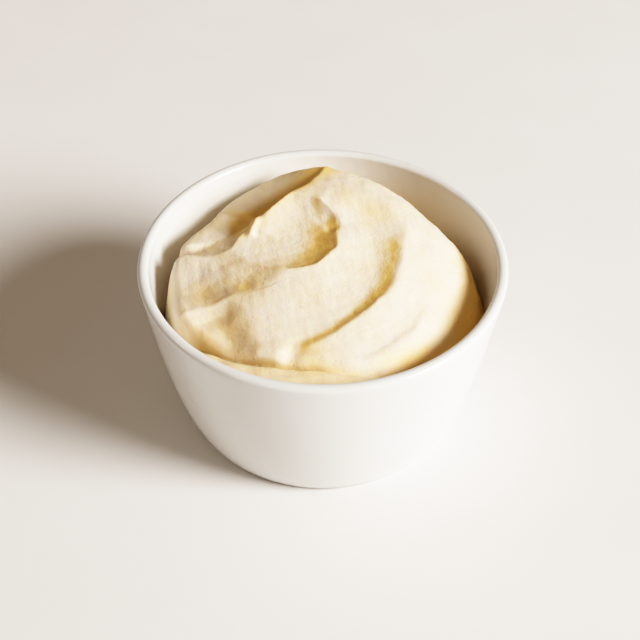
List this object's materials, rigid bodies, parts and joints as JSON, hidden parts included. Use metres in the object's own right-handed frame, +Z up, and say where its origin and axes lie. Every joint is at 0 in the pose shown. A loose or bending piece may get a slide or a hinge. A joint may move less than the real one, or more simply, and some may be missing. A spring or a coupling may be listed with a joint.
{
  "type": "mashed potato side in a bowl",
  "caption": "Smooth mashed potato spooned into one wide swirl, heaped above the rim of a plain round white glazed bowl with tapering sides.",
  "frame": {"origin": "middle of the foot ring, on the table", "axes": "+Z up along the bowl's axis, -Y towards the front of the swirl, +X to its right"},
  "size_m": [0.12, 0.12, 0.0709],
  "materials": {
    "bowl_glaze": "gloss",
    "mashed_potato": "moist, soft"
  },
  "bodies": {
    "root": {"bowl": "bowl_glaze", "mashed_potato": "mashed_potato"}
  },
  "joints": []
}
